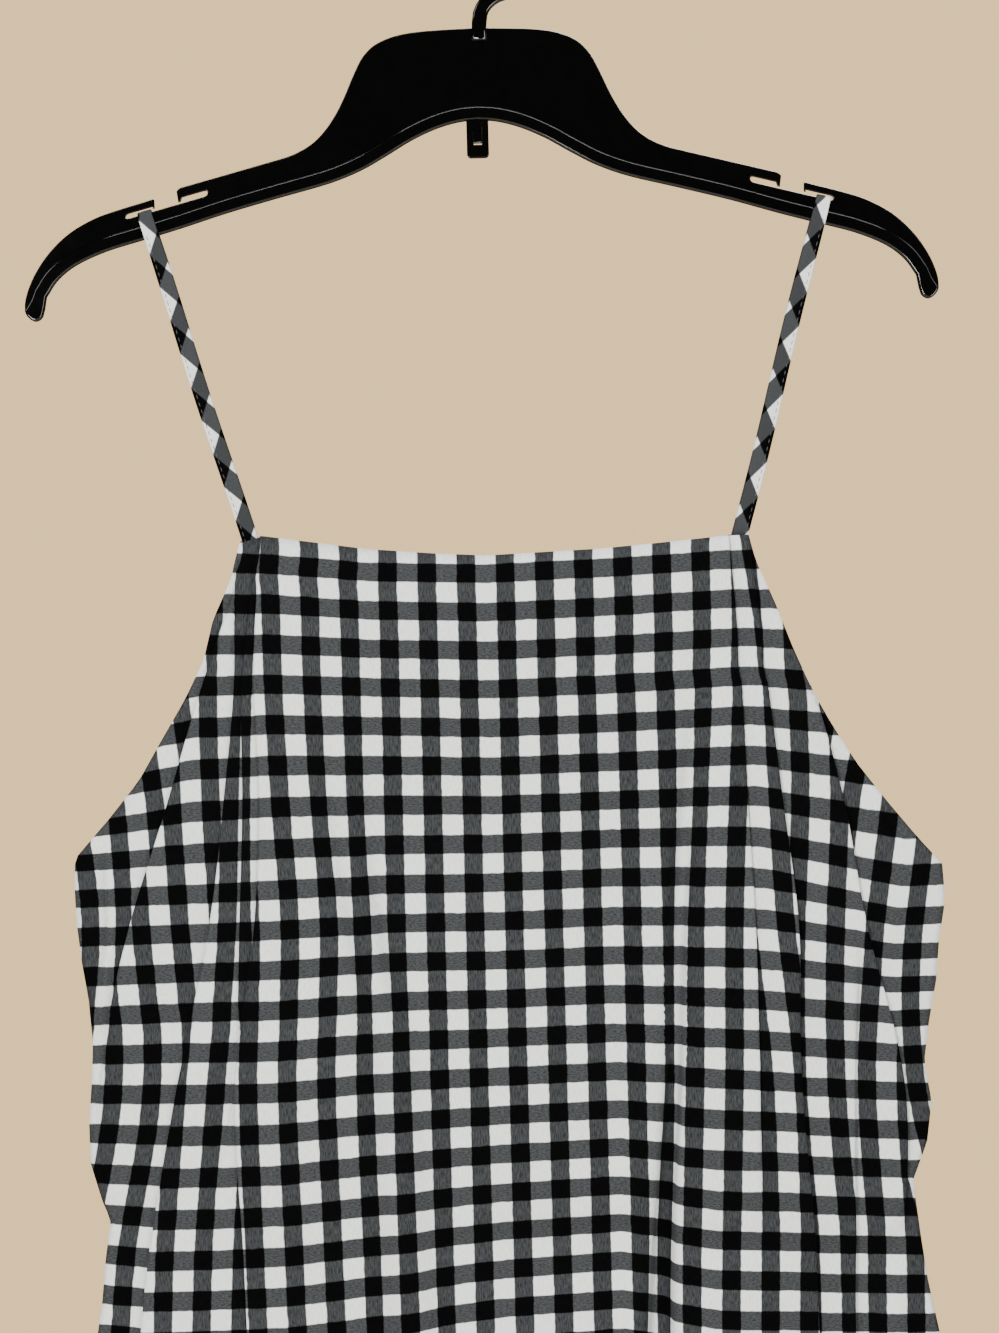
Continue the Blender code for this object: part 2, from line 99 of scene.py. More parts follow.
FRONT_DEPTH = (         # down, how far the middle stands out from the sides
    (0.0, 2.0), (20.0, 3.0), (60.0, 5.0), (85.0, 6.5), (107.0, 8.0), (132.0, 9.0), (152.0, 11.0),
    (230.0, 12.0), (302.0, 13.0), (450.0, 17.0), (695.0, 24.0),
)
FOLD_STATIONS = (0.0, 60.0, 115.0, 165.0, 240.0, 315.0, LENGTH)
FOLD_SIZES = (0.0, 240.0, LENGTH)
SIDE_TURNS = 5
ROW_POINTS = 3201
FRONT_FOLDS = (         # name, across in checks, takes up, size, kind
    ("left tuck", (-6.5, -6.6, -6.52, -6.75, -7.35, -7.1, -7.4), (28.5, 22.7, 18.2, 14.3, 19.5, 12.2, 7),
     (1.5, 2.4, 3.5), "right over left"),
    ("beside left tuck", (-7.78, -7.9, -7.8, -7.85, -8, -8.6, -9.4), (18, 14.2, 12.9, 11.5, 2, 0, 0),
     (1.5, 2.2, 5), "right over left"),
    ("left side", (-9, -8.65, -8.9, -9.3, -10.15, -10.4, -11), (0, 5.7, 9.5, 14, 24.6, 18.4, 12),
     (1.8, 2.4, 4), "right over left"),
    ("left armhole", (-8.6, -9.7, -10.95, -12, -12.9, -12.2, -14.1), (0, 4, 10.5, 9.6, 1, 0, 0),
     (2, 2.6, 6), "right over left"),
    ("left underarm", (-12.9, -12.9, -12.9, -12.9, -13.5, -13.9, -15), (0, 0, 0, 3, 0, 0, 0),
     (6, 6, 12), "ridge"),
    ("left of middle", (-4.2, -4, -3.9, -3.6, -2.8, -2.6, -3.2), (0, 0.2, 2.2, 5.2, 2.2, 3.2, 10),
     (16, 16, 38), "ridge"),
    ("left hem", (-11, -11, -11, -11, -11.6, -12, -12.9), (0, 0, 0, 0, 0, 0, 10),
     (14, 16, 24), "ridge"),
    ("left hem side", (-12, -12, -12, -12, -12.2, -13.6, -15.3), (0, 0, 0, 0, 0, 0, 2),
     (12, 14, 20), "trough"),
    ("right tuck", (7.05, 7.05, 7.15, 7.3, 7.2, 7.3, 7.4), (32, 23.5, 18.3, 13.4, 4.5, 0, 0),
     (1.6, 2.4, 3), "left over right"),
    ("beside right tuck", (8.5, 8.5, 8.75, 9.1, 8.95, 9.05, 10), (2, 5.8, 7.6, 12.6, 21, 18, 8),
     (1.8, 2.8, 3.5), "left over right"),
    ("right of middle", (5.4, 5.4, 5.1, 4.9, 4.7, 4.42, 4.2), (0, 0.6, 3.8, 7, 9.4, 12.5, 12),
     (10, 12, 34), "trough"),
    ("right armhole", (8.9, 9.8, 10.95, 11.75, 12.75, 12.2, 13.4), (0, 1.6, 13.4, 18.4, 13, 0, 4),
     (2, 2.6, 3), "left over right"),
    ("right waist", (10.4, 10.8, 11, 11.1, 11.05, 10.75, 12), (0, 0, 0, 0, 3.6, 5, 5),
     (2.4, 3, 3.5), "left over right"),
    ("right hem", (6.6, 6.6, 6.6, 6.6, 6.6, 6.8, 7.4), (0, 0, 0, 0, 0, 0, 11),
     (14, 22, 34), "ridge"),
    ("right hem side", (12.2, 12.2, 12.2, 12.2, 12.2, 12.2, 13.9), (0, 0, 0, 0, 0, 0, 13),
     (12, 20, 34), "ridge"),
)
SAG_ACROSS = (-14.0, -10.0, -8.2, -5.7, -3.0, 0.0, 3.0, 6.1, 8.0, 13.0)
FRONT_SAG = (
    (0.0, (-12, -10, -8, -8, -2.2, 0, -1.3, -3.9, -3.9, -5)),
    (110.0, (10, -1, -1.7, -2.4, -1.8, 0, -0.8, -1.7, -1.5, 14)),
    (132.0, (5.5, 1, 0.3, -0.5, -1, 0, -1, -0.8, 0, 20)),
    (215.0, (5, 3.5, 3.5, 3.2, 0, 0, -1, 2.3, 5, 15)),
    (320.0, (6, 12, 11.3, 10, 5, 0, -2.5, 7.1, 9, 15)),
    (LENGTH, (9, 8, 8.5, 8.5, 4, 0, -1, 5.7, 8, 11)),
)
FRONT_CREASES = (       # across and down at each end, half width, depth; a ridge is negative
    (-12.7, 105, -13.6, 165, 4.0, 1.4),
    (-11.7, 180, -11.3, 222, 5.0, 1.4),
    (-12.4, 218, -11.4, 262, 4.0, -1.3),
    (-12.3, 262, -11.3, 292, 4.0, 1.5),
    (-12.2, 322, -11.6, 352, 5.0, -1.4),
    (-3.9, 60, -2.3, 330, 9.0, -0.8),
    (-1.5, 150, -0.6, 420, 12.0, 0.7),
    (1.6, 90, 1.2, 260, 11.0, -0.6),
    (13.5, 150, 12.9, 186, 4.0, 1.4),
    (13.2, 196, 13.6, 232, 3.0, -1.0),
    (12.5, 296, 11.7, 322, 4.0, 1.6),
    (12.4, 326, 11.5, 360, 5.0, -1.4),
    (10.0, 340, 10.1, 450, 4.0, 1.2),
)
FRONT_MESH = (300, 160)
NECK_RISE = (           # across the flat cloth, height of the cut neck above the straight grain
    (-163.0, 0.0), (-151.0, 3.9), (-143.0, 2.6), (-134.0, 3.9), (-120.0, 1.2), (-106.0, 3.9), (-50.0, 1.9),
    (-25.0, 0.6), (0.0, 0.0), (50.0, 0.5), (80.0, 1.3), (115.0, 2.6), (130.0, 0.9), (144.0, 2.6),
)
NECK_BLEND = 60.0


def curve_between(stations, values, place):
    """Value at a place on a smooth curve through the values at the stations."""
    stations = np.asarray(stations, dtype=float)
    values = np.asarray(values, dtype=float)
    slopes = np.gradient(values, stations, axis=0)
    index = int(np.clip(np.searchsorted(stations, place) - 1, 0, len(stations) - 2))
    gap = stations[index + 1] - stations[index]
    share = min(max((place - stations[index]) / gap, 0.0), 1.0)
    left = 1.0 - share
    start = (1 + 2 * share) * left ** 2 * values[index] + share * left ** 2 * gap * slopes[index]
    end = (3 - 2 * share) * share ** 2 * values[index + 1] - share ** 2 * left * gap * slopes[index + 1]
    return start + end


def slope_table():
    """Steepest slopes of a soft fold and the share of its cloth that each takes up."""
    slopes = np.linspace(0.0, 2.0, 81)
    around = np.linspace(0.0, math.pi, 181)
    return slopes, np.array([1.0 - np.mean(np.cos(slope * np.sin(around))) for slope in slopes])


SLOPES, SHARES = slope_table()
LAP_TURNS = np.linspace(0.0, math.pi, 91)
LAP_SHARES = 1.0 - np.sinc(LAP_TURNS / math.pi)


def fold_at(fold, down):
    """A fold's middle (mm), take-up and size at a row: a soft fold's half width or a lap's turn.
    The table gives the middle of what a lap hides; the cloth that turns back lies half a lap nearer
    its upper side."""
    _, across, takes_up, size, kind = fold
    stations = FOLD_STATIONS if len(across) == len(FOLD_STATIONS) else BACK_STATIONS
    middle = float(curve_between(stations, across, down)) * CHECK
    taken = max(float(curve_between(stations, takes_up, down)), 0.0)
    size = float(np.interp(down, FOLD_SIZES, size))
    lap = max(taken / 2.0 - size, 0.0)
    middle += {"left over right": -lap / 2.0, "right over left": lap / 2.0}.get(kind, 0.0)
    return middle, taken, size


def fold_slope(fine, fold, down):
    """Slope of the cloth in a fold. In a lap the cloth turns back under its upper side and out
    again; a trough or a ridge only sinks or rises."""
    middle, taken, size = fold_at(fold, down)
    if fold[4] in ("trough", "ridge"):
        place = np.clip((fine - middle) / size, -1.0, 1.0)
        steepest = np.interp(taken / (2.0 * size), SHARES, SLOPES)
        return steepest * np.sin(math.pi * -place) * (1.0 if fold[4] == "trough" else -1.0)
    lap = max(taken / 2.0 - size, 0.0)
    turned = np.interp(min(taken / (2.0 * size), 1.0), LAP_SHARES, LAP_TURNS)
    share = np.clip((size + lap / 2.0 - np.abs(fine - middle)) / size, 0.0, 1.0)
    return turned * share * (1.0 if fold[4] == "left over right" else -1.0)


def cut_sides(down, folds, sag):
    """Half widths of the cut at a row, left and right, in mm: the outline's and what the folds take.
    A fold on the centre line is shared out. The outline is met at the height to which the cut edge
    sags, so its place is settled in a few turns."""
    sag_row = curve_between([row[0] for row in sag], [row[1] for row in sag], down)
    halves = []
    for column, side in ((1, -1.0), (2, 1.0)):
        taken_here = 0.0
        for fold in folds:
            middle, taken, size = fold_at(fold, down)
            share = np.clip(side * middle / size, -1.0, 1.0)
            turn = 2.0 * math.pi * share
            taken_here += taken * (0.5 + share / 2.0 - math.sin(turn) / (4.0 * math.pi))
        half = SAG_ACROSS[-1] * CHECK
        for _ in range(SIDE_TURNS):
            drop = NECK_DROP + down + np.interp(side * half / CHECK, SAG_ACROSS, sag_row)
            half = side * (np.interp(drop, OUTLINE[:, 0], OUTLINE[:, column]) - CENTRE_X) + taken_here
        halves.append(half)
    return halves


def cloth_row(down, depths, folds, sag, side, inward=0.0):
    """One row of cloth, finely: place across (mm), x, y and z. inward moves it inside the dress."""
    left_cut, right_cut = cut_sides(down, folds, sag)
    depth = np.interp(down, [row[0] for row in depths], [row[1] for row in depths])
    fine = np.linspace(-left_cut, right_cut, ROW_POINTS)
    slope = sum(fold_slope(fine, fold, down) for fold in folds)
    step = fine[1] - fine[0]
    run = np.concatenate(([0.0], np.cumsum(np.cos(slope)[:-1]) * step))
    lift = np.concatenate(([0.0], np.cumsum(np.sin(slope)[:-1]) * step))
    lift -= lift[-1] * run / run[-1]
    run -= np.interp(0.0, fine, run)
    sag_row = curve_between([row[0] for row in sag], [row[1] for row in sag], down)
    drop = NECK_DROP + down + np.interp(fine / CHECK, SAG_ACROSS, sag_row)
    left_x = np.interp(drop[0], OUTLINE[:, 0], OUTLINE[:, 1])
    right_x = np.interp(drop[-1], OUTLINE[:, 0], OUTLINE[:, 2])
    reach = np.where(run < 0.0, (CENTRE_X - left_x) / -run[0], (right_x - CENTRE_X) / run[-1])
    x = CENTRE_X + run * reach
    span = np.where(run < 0.0, CENTRE_X - left_x, right_x - CENTRE_X)
    beside = np.clip(np.abs(x - CENTRE_X) / span, 0.0, 1.0)
    edge_y = np.interp(drop, OUTLINE[:, 0], OUTLINE[:, 3])
    y = side * (edge_y + depth * (1.0 - beside ** FULLNESS) - lift - inward)
    return fine, x, y, -(HOOK_TO_NOTCH + drop), beside


def crease_depth(x, across, down, beside, creases):
    """How far the listed creases and the cloth's slight waviness push the cloth in, in mm.
    The waviness goes by x, so that the layers of a lap keep apart."""
    depth = 0.35 * np.sin(x / 23.0 + down / 61.0) * np.sin(down / 47.0 - x / 88.0)
    depth += 0.25 * np.sin(x / 11.0 - down / 39.0 + 1.3) * np.sin(down / 29.0 + x / 35.0)
    for across_1, down_1, across_2, down_2, half, deep in creases:
        start = np.array((across_1 * CHECK, down_1))
        line = np.array((across_2 * CHECK, down_2)) - start
        length = np.linalg.norm(line)
        along = ((across - start[0]) * line[0] + (down - start[1]) * line[1]) / length
        off = ((across - start[0]) * -line[1] + (down - start[1]) * line[0]) / length
        share = np.clip(along / length, 0.0, 1.0)
        depth += deep * np.sin(math.pi * share) ** 0.8 * np.exp(-(off / half) ** 2)
    return depth * np.clip((1.0 - beside) * 14.0, 0.0, 1.0)


def cloth_grid(name, depths, folds, sag, side, creases, size, first=0.0, last=LENGTH, inward=0.0):
    """A grid of cloth with its weave laid out in its UV map, in metres of flat cloth."""
    across, rows = size
    grid = bmesh.new()
    bmesh.ops.create_grid(grid, x_segments=across - 1, y_segments=rows - 1, size=1.0)
    grid.verts.ensure_lookup_table()
    flat = []
    for row, down in enumerate(np.linspace(first, last, rows)):
        fine, x, y, z, beside = cloth_row(down, depths, folds, sag, side, inward)
        weight = np.ones_like(fine)
        for fold in folds:
            middle, taken, size = fold_at(fold, down)
            soft = fold[4] in ("trough", "ridge")
            bend = 0.0 if soft else max(taken / 2.0 - size, 0.0) / 2.0 + size / 2.0
            room = 0.6 * size if soft else 0.7 * size + 0.5
            more = (1.2 if soft else 7.0) * min(1.0, taken / 5.0)
            weight += more * np.exp(-((np.abs(fine - middle) - bend) / room) ** 2)
        filled = np.concatenate(([0.0], np.cumsum(weight[1:])))
        places = np.interp(np.linspace(0.0, filled[-1], across), filled, fine)
        near = np.interp(places, fine, beside)
        place_x = np.interp(places, fine, x)
        pushed = np.interp(places, fine, y) - side * crease_depth(place_x, places, down, near, creases)
        rise = np.interp(places, *np.transpose(NECK_RISE)) * max(1.0 - down / NECK_BLEND, 0.0)
        points = np.column_stack((place_x, pushed, np.interp(places, fine, z) + rise))
        for column, point in enumerate(points):
            grid.verts[row * across + column].co = point * MM
            flat.append((places[column] * MM, (rise[column] - down) * MM))
    layer = grid.loops.layers.uv.new("weave")
    for face in grid.faces:
        face.smooth = True
        for corner in face.loops:
            corner[layer].uv = flat[corner.vert.index]
    if side < 0:
        bmesh.ops.reverse_faces(grid, faces=grid.faces[:])
    return finished(name, grid)


def finished(name, shape):
    """The shape as an object at the origin."""
    mesh = bpy.data.meshes.new(name)
    shape.to_mesh(mesh)
    shape.free()
    piece = bpy.data.objects.new(name, mesh)
    bpy.context.scene.collection.objects.link(piece)
    return piece


def walled(piece, thickness):
    """Give an open sheet its thickness, half to each side."""
    wall = piece.modifiers.new("wall", "SOLIDIFY")
    wall.thickness = thickness * MM
    wall.offset = 0.0
    return piece


def linear(hex_colour):
    """An sRGB hex colour as linear values."""
    values = [int(hex_colour[place:place + 2], 16) / 255 for place in (1, 3, 5)]
    low = [value / 12.92 for value in values]
    high = [((value + 0.055) / 1.055) ** 2.4 for value in values]
    return [a if value <= 0.04045 else b for value, a, b in zip(values, low, high)] + [1.0]


def node(tree, kind, settings=None, **links):
    """Add a node with its settings, then link or set its inputs by name or number."""
    added = tree.nodes.new(kind)
    for key, value in (settings or {}).items():
        setattr(added, key, value)
    for key, value in links.items():
        numbered = key[0] == "i" and key[1:].isdigit()
        socket = added.inputs[int(key[1:]) if numbered else key.replace("_", " ")]
        if isinstance(value, bpy.types.NodeSocket):
            tree.links.new(value, socket)
        else:
            socket.default_value = value
    return added


YARN = 0.55             # mm, across the specks
STRIPE_WANDER = 0.9     # mm, how far a stripe's edge strays
STRIPE_EDGE = 0.018     # half its soft edge, as a share of the period


def gingham(name, period, phase, dark_share, thread):
    """Yarn-dyed plain-weave cotton: white and black stripes of yarn cross each way. Where one of
    each cross, the eye sees a grey of fine specks, streaked along the black yarns of a column and
    mottled on a row. Cotton has a soft, dull surface, so it is rough with a little sheen."""
    made = bpy.data.materials.new(name)
    made.use_nodes = True
    tree = made.node_tree
    shader = tree.nodes["Principled BSDF"]
    place = node(tree, "ShaderNodeUVMap", {"uv_map": "weave"}).outputs["UV"]
    wander = node(tree, "ShaderNodeTexNoise", None, Vector=place, Scale=210.0, Detail=2.0)
    split = node(tree, "ShaderNodeSeparateXYZ", None, Vector=place)
    moved = node(tree, "ShaderNodeSeparateXYZ", None, Vector=wander.outputs["Color"])
    darks = []
    for axis in (0, 1):
        shift = node(tree, "ShaderNodeMath", {"operation": "MULTIPLY_ADD"}, i0=moved.outputs[axis],
                     i1=STRIPE_WANDER * MM, i2=split.outputs[axis])
        turns = node(tree, "ShaderNodeMath", {"operation": "MULTIPLY_ADD"}, i0=shift.outputs[0],
                     i1=1.0 / (period[axis] * MM), i2=phase[axis])
        share = node(tree, "ShaderNodeMath", {"operation": "FRACT"}, i0=turns.outputs[0])
        centred = node(tree, "ShaderNodeMath", {"operation": "SUBTRACT"}, i0=share.outputs[0], i1=0.5)
        off = node(tree, "ShaderNodeMath", {"operation": "ABSOLUTE"}, i0=centred.outputs[0])
        half = dark_share[axis] / 2
        edge = node(tree, "ShaderNodeMapRange", {"interpolation_type": "SMOOTHSTEP"}, Value=off.outputs[0])
        edge.inputs["From Min"].default_value = half - STRIPE_EDGE
        edge.inputs["From Max"].default_value = half + STRIPE_EDGE
        edge.inputs["To Min"].default_value = 1.0
        edge.inputs["To Max"].default_value = 0.0
        darks.append(edge.outputs[0])
    column, row = darks
    # specks one thread wide and several long, drawn about twice as coarse as the real yarn
    specks = []
    for stretch in ((1.0, 0.16, 1.0), (0.35, 1.0, 1.0)):
        laid = node(tree, "ShaderNodeMapping", None, Vector=place, Scale=stretch).outputs[0]
        yarn = node(tree, "ShaderNodeTexNoise", None, Vector=laid, Scale=1.0 / (thread * MM),
                    Detail=3.0, Roughness=0.7)
        specks.append(yarn.outputs["Fac"])
    upright, level = specks

    def tone(speck, low, high, dark, light):
        ramp = node(tree, "ShaderNodeMapRange", None, Value=speck)
        ramp.inputs["From Min"].default_value = low
        ramp.inputs["From Max"].default_value = high
        return node(tree, "ShaderNodeMix", {"data_type": "RGBA"}, i0=ramp.outputs[0], i6=linear(dark),
                    i7=linear(light)).outputs[2]

    white = tone(upright, 0.3, 0.7, "#CFD2D2", "#EDEEEC")
    column_grey = tone(upright, 0.32, 0.68, "#1A1C1E", "#424446")
    row_grey = tone(level, 0.32, 0.68, "#202224", "#484A4C")
    black = tone(upright, 0.3, 0.75, "#010102", "#060607")
    light_row = node(tree, "ShaderNodeMix", {"data_type": "RGBA"}, i0=column, i6=white, i7=column_grey)
    dark_row = node(tree, "ShaderNodeMix", {"data_type": "RGBA"}, i0=column, i6=row_grey, i7=black)
    cloth = node(tree, "ShaderNodeMix", {"data_type": "RGBA"}, i0=row, i6=light_row.outputs[2],
                 i7=dark_row.outputs[2])
    tree.links.new(cloth.outputs[2], shader.inputs["Base Color"])
    relief = node(tree, "ShaderNodeMath", {"operation": "ADD"}, i0=upright, i1=level)
    bump = node(tree, "ShaderNodeBump", None, Height=relief.outputs[0], Strength=0.35, Distance=0.15 * MM)
    tree.links.new(bump.outputs[0], shader.inputs["Normal"])
    shader.inputs["Roughness"].default_value = 0.88
    shader.inputs["Specular IOR Level"].default_value = 0.03
    shader.inputs["Sheen Weight"].default_value = 0.008
    shader.inputs["Sheen Roughness"].default_value = 0.5
    return made


DARK_SHARE = (0.485, 0.49)
GINGHAM = gingham("yarn_dyed_gingham_cotton", (CHECK, CHECK_DOWN), (0.0, -0.9 / CHECK_DOWN),
                  DARK_SHARE, YARN)
front = walled(cloth_grid("front_cloth", FRONT_DEPTH, FRONT_FOLDS, FRONT_SAG, -1, FRONT_CREASES,
                          FRONT_MESH), SHEET)
front.data.materials.append(GINGHAM)
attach(front, "root")
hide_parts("front")


def cut_size(folds, sag, first=0.0, last=LENGTH):
    """Widest part, length and flat area of a panel's cut between two rows, in metres."""
    widths = [sum(cut_sides(down, folds, sag)) * MM for down in np.linspace(first, last, 400)]
    return max(widths), (last - first) * MM, float(np.mean(widths)) * (last - first) * MM


# Back of the dress
# The same cloth, cut plain with no tucks and a slightly lower neck. The photograph hides it, so its
# soft folds are like the front's but fewer.
BACK_DEPTH = (
    (0.0, 2.5), (55.0, 7.0), (110.0, 10.0), (132.0, 11.0), (165.0, 12.0), (240.0, 14.0), (315.0, 14.0),
    (450.0, 22.0), (695.0, 36.0),
)
BACK_STATIONS = (0.0, 110.0, 200.0, 315.0, LENGTH)
BACK_FOLDS = (
    ("left blade", (-4.4, -4.6, -4.8, -5.0, -5.2), (0, 5, 8, 9, 15), (15, 21, 34), "trough"),
    ("left side", (-6.0, -7.6, -8.2, -8.4, -10.0), (0, 4, 6, 4, 14), (12, 19, 32), "ridge"),
    ("left hip", (-6.0, -10.0, -10.6, -10.6, -13.8), (0, 0, 2, 3, 12), (10, 16, 28), "ridge"),
    ("middle", (0.4, 0.2, -0.4, -1.0, -1.4), (0, 2, 4, 5, 14), (16, 23, 38), "trough"),
    ("right blade", (3.6, 3.2, 3.0, 2.8, 3.2), (0, 4, 6, 7, 13), (14, 21, 34), "trough"),
    ("right side", (6.2, 7.6, 7.4, 7.2, 7.9), (0, 5, 9, 8, 16), (12, 20, 34), "ridge"),
    ("right hip", (6.2, 10.6, 11.0, 11.0, 13.2), (0, 0, 3, 4, 13), (10, 17, 30), "ridge"),
)
BACK_SAG = (
    (0.0, (-12, -10.5, -9.8, -8, 3, 6, 2.5, -4.7, -5.5, -5.5)),
    (132.0, (7, 3, 2.5, 1.9, 1, 2, 1, 2.5, 4, 21)),
    (320.0, (9, 8, 6.6, 4.7, 2, 1, 2, 4.7, 7, 14)),
    (LENGTH, (9, 7, 6.1, 4.7, 2, 0, 2, 4.5, 6, 11)),
)
BACK_CREASES = (
    (-5.6, 40, -5.2, 260, 5.0, 1.2),
    (-7.0, 70, -9.6, 190, 6.0, 1.6),
    (-10.8, 140, -8.4, 200, 6.0, -1.4),
    (-11.2, 235, -8.8, 290, 6.0, 1.6),
    (-11.0, 300, -8.6, 335, 5.0, -1.5),
    (-2.2, 60, -2.8, 330, 10.0, 0.9),
    (1.2, 120, 0.6, 420, 11.0, -0.9),
    (5.0, 30, 5.4, 250, 5.0, 1.2),
    (7.4, 80, 9.9, 180, 6.0, 1.7),
    (11.4, 150, 8.8, 210, 6.0, 1.5),
    (11.6, 240, 9.2, 300, 6.0, -1.6),
    (11.3, 320, 9.4, 360, 5.0, 1.4),
)
BACK_MESH = (150, 190)
back = walled(cloth_grid("back_cloth", BACK_DEPTH, BACK_FOLDS, BACK_SAG, 1, BACK_CREASES, BACK_MESH), SHEET)
back.data.materials.append(GINGHAM)
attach(back, "root")
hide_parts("back")


# Hem
# The lower edge of the front and the back is turned up inside once and held by one row of stitches.
HEM_TURN = 20.0
HEM_GAP = SHEET + 0.3
STITCH = (2.6, 0.42)    # length and thickness, mm
STITCH_PITCH = 3.4
turnings = []
for name, depths, folds, sag, side, creases, count in (
        ("front_hem_turning", FRONT_DEPTH, FRONT_FOLDS, FRONT_SAG, -1, FRONT_CREASES, FRONT_MESH[0]),
        ("back_hem_turning", BACK_DEPTH, BACK_FOLDS, BACK_SAG, 1, BACK_CREASES, BACK_MESH[0])):
    turning = walled(cloth_grid(name, depths, folds, sag, side, creases, (count, 8), LENGTH - HEM_TURN,
                                LENGTH - 0.4, HEM_GAP), SHEET)
    turning.data.materials.append(GINGHAM)
    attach(turning, "root")
    turnings.append(turning)
for panel, turning, folds, sag in (
        (front, turnings[0], FRONT_FOLDS, FRONT_SAG), (back, turnings[1], BACK_FOLDS, BACK_SAG)):
    wide, long, area = cut_size(folds, sag)
    wide, long, area = cut_size(folds, sag, LENGTH - HEM_TURN, LENGTH - 0.4)


def sewing_thread(name, hex_colour):
    """Spun polyester thread: slightly shiny, rough from its twist."""
    made = bpy.data.materials.new(name)
    made.use_nodes = True
    tree = made.node_tree
    shader = tree.nodes["Principled BSDF"]
    place = node(tree, "ShaderNodeTexCoord").outputs["Object"]
    twist = node(tree, "ShaderNodeTexNoise", None, Vector=place, Scale=2500.0, Detail=2.0)
    colour = node(tree, "ShaderNodeMix", {"data_type": "RGBA"}, i0=twist.outputs["Fac"],
                  i6=linear(hex_colour), i7=linear("#5A5D60"))
    tree.links.new(colour.outputs[2], shader.inputs["Base Color"])
    shader.inputs["Roughness"].default_value = 0.6
    return made


THREAD = sewing_thread("spun_polyester_thread", "#202224")


def stitches(name, spots):
    """A row of stitches: each spot is a middle, a direction along the seam and the face's normal."""
    row = bmesh.new()
    for middle, along, out in spots:
        along = along.normalized()
        across = out.cross(along).normalized()
        turn = Matrix((along, across, along.cross(across))).transposed().to_4x4()
        size = Matrix.Diagonal((STITCH[0] / 2 * MM, STITCH[1] / 2 * MM, STITCH[1] / 2 * MM, 1.0))
        placed = Matrix.Translation(middle) @ turn @ size
        bmesh.ops.create_icosphere(row, subdivisions=1, radius=1.0, matrix=placed)
    for face in row.faces:
        face.smooth = True
    return finished(name, row)


def on_cloth(cloth, places, down, side, creases):
    """Points on the cloth, in metres, at places across one of its rows."""
    fine, x, y, z, beside = cloth
    near = np.interp(places, fine, beside)
    place_x = np.interp(places, fine, x)
    out = np.interp(places, fine, y) - side * crease_depth(place_x, places, down, near, creases)
    return np.column_stack((place_x, out, np.interp(places, fine, z))) * MM


for name, depths, folds, sag, side, creases in (
        ("front_hem_stitches", FRONT_DEPTH, FRONT_FOLDS, FRONT_SAG, -1, FRONT_CREASES),
        ("back_hem_stitches", BACK_DEPTH, BACK_FOLDS, BACK_SAG, 1, BACK_CREASES)):
    down = LENGTH - HEM_TURN + 2.0
    cloth = cloth_row(down, depths, folds, sag, side)
    places = np.arange(cloth[0][0] + 3.0, cloth[0][-1] - 3.0, STITCH_PITCH)
    middles = on_cloth(cloth, places, down, side, creases)
    ahead = on_cloth(cloth, places + 0.5, down, side, creases)
    spots = []
    for middle, next_point in zip(middles, ahead):
        along = Vector(next_point - middle)
        out = along.cross(Vector((0.0, 0.0, 1.0))).normalized()
        out = out if out.y * side > 0.0 else -out
        spots.append((Vector(middle) + out * (SHEET / 2 + 0.05) * MM, along, out))
    row = stitches(name, spots)
    row.data.materials.append(THREAD)
    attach(row, "root")


# Straps
# Each is one narrow tube of the same gingham, cut on the bias so that its checks turn to diamonds,
# pressed flat, edge-stitched along its outer side and sewn inside the neck at front and back.
STRAP_WIDTH = 7.6
STRAP_THICK = 1.3
STRAP_Y = 4.7           # front and back runs from the middle plane, at the hanger
STRAP_NECK_Y = 4.1      # and at the neckline
STRAP_RUN_TOP = 9.0     # below the web's upper edge
STRAP_TAIL = 8.5
STRAP_POINTS = 46       # along the front or the back run
STRAP_ENDS = {"strap_left": (-160.3, -114.5, 154.8), "strap_right": (160.5, 116.4, 160.6)}
WEB = 2.4
BODY_X = -1.9           # the hanger's body hangs this far left of its hook
SLOT_LINE = (141.5, 5.0)
ARM_SLOPE = -0.262
BIAS_PERIOD = 33.0      # of the checks along the strap
BIAS_ACROSS = (0.042, 0.048)    # turns of the two stripes for each mm across
BIAS_START = {"strap_left": 10.4, "strap_right": 4.4}
BIAS = gingham("bias_cut_gingham_cotton", (1000.0, 1000.0), (0.0, 0.0), DARK_SHARE, YARN)
STRAP_SECTION = (       # across as a share of half the width, out as a share of half the thickness
    (1.0, 0.0), (0.97, 0.62), (0.86, 0.95), (0.68, 1.0), (0.6, 0.72), (0.45, 1.0), (0.0, 1.12), (-0.5, 1.05),
    (-0.86, 0.9), (-0.97, 0.6), (-1.0, 0.0), (-0.97, -0.6), (-0.86, -0.9), (-0.5, -1.0), (0.0, -1.05),
    (0.5, -1.0), (0.86, -0.9), (0.97, -0.6),
)


def above_line(x, above=0.0):
    """A height above the line that the straps' slots stand on."""
    return SLOT_LINE[1] + ARM_SLOPE * (x - SLOT_LINE[0]) + above


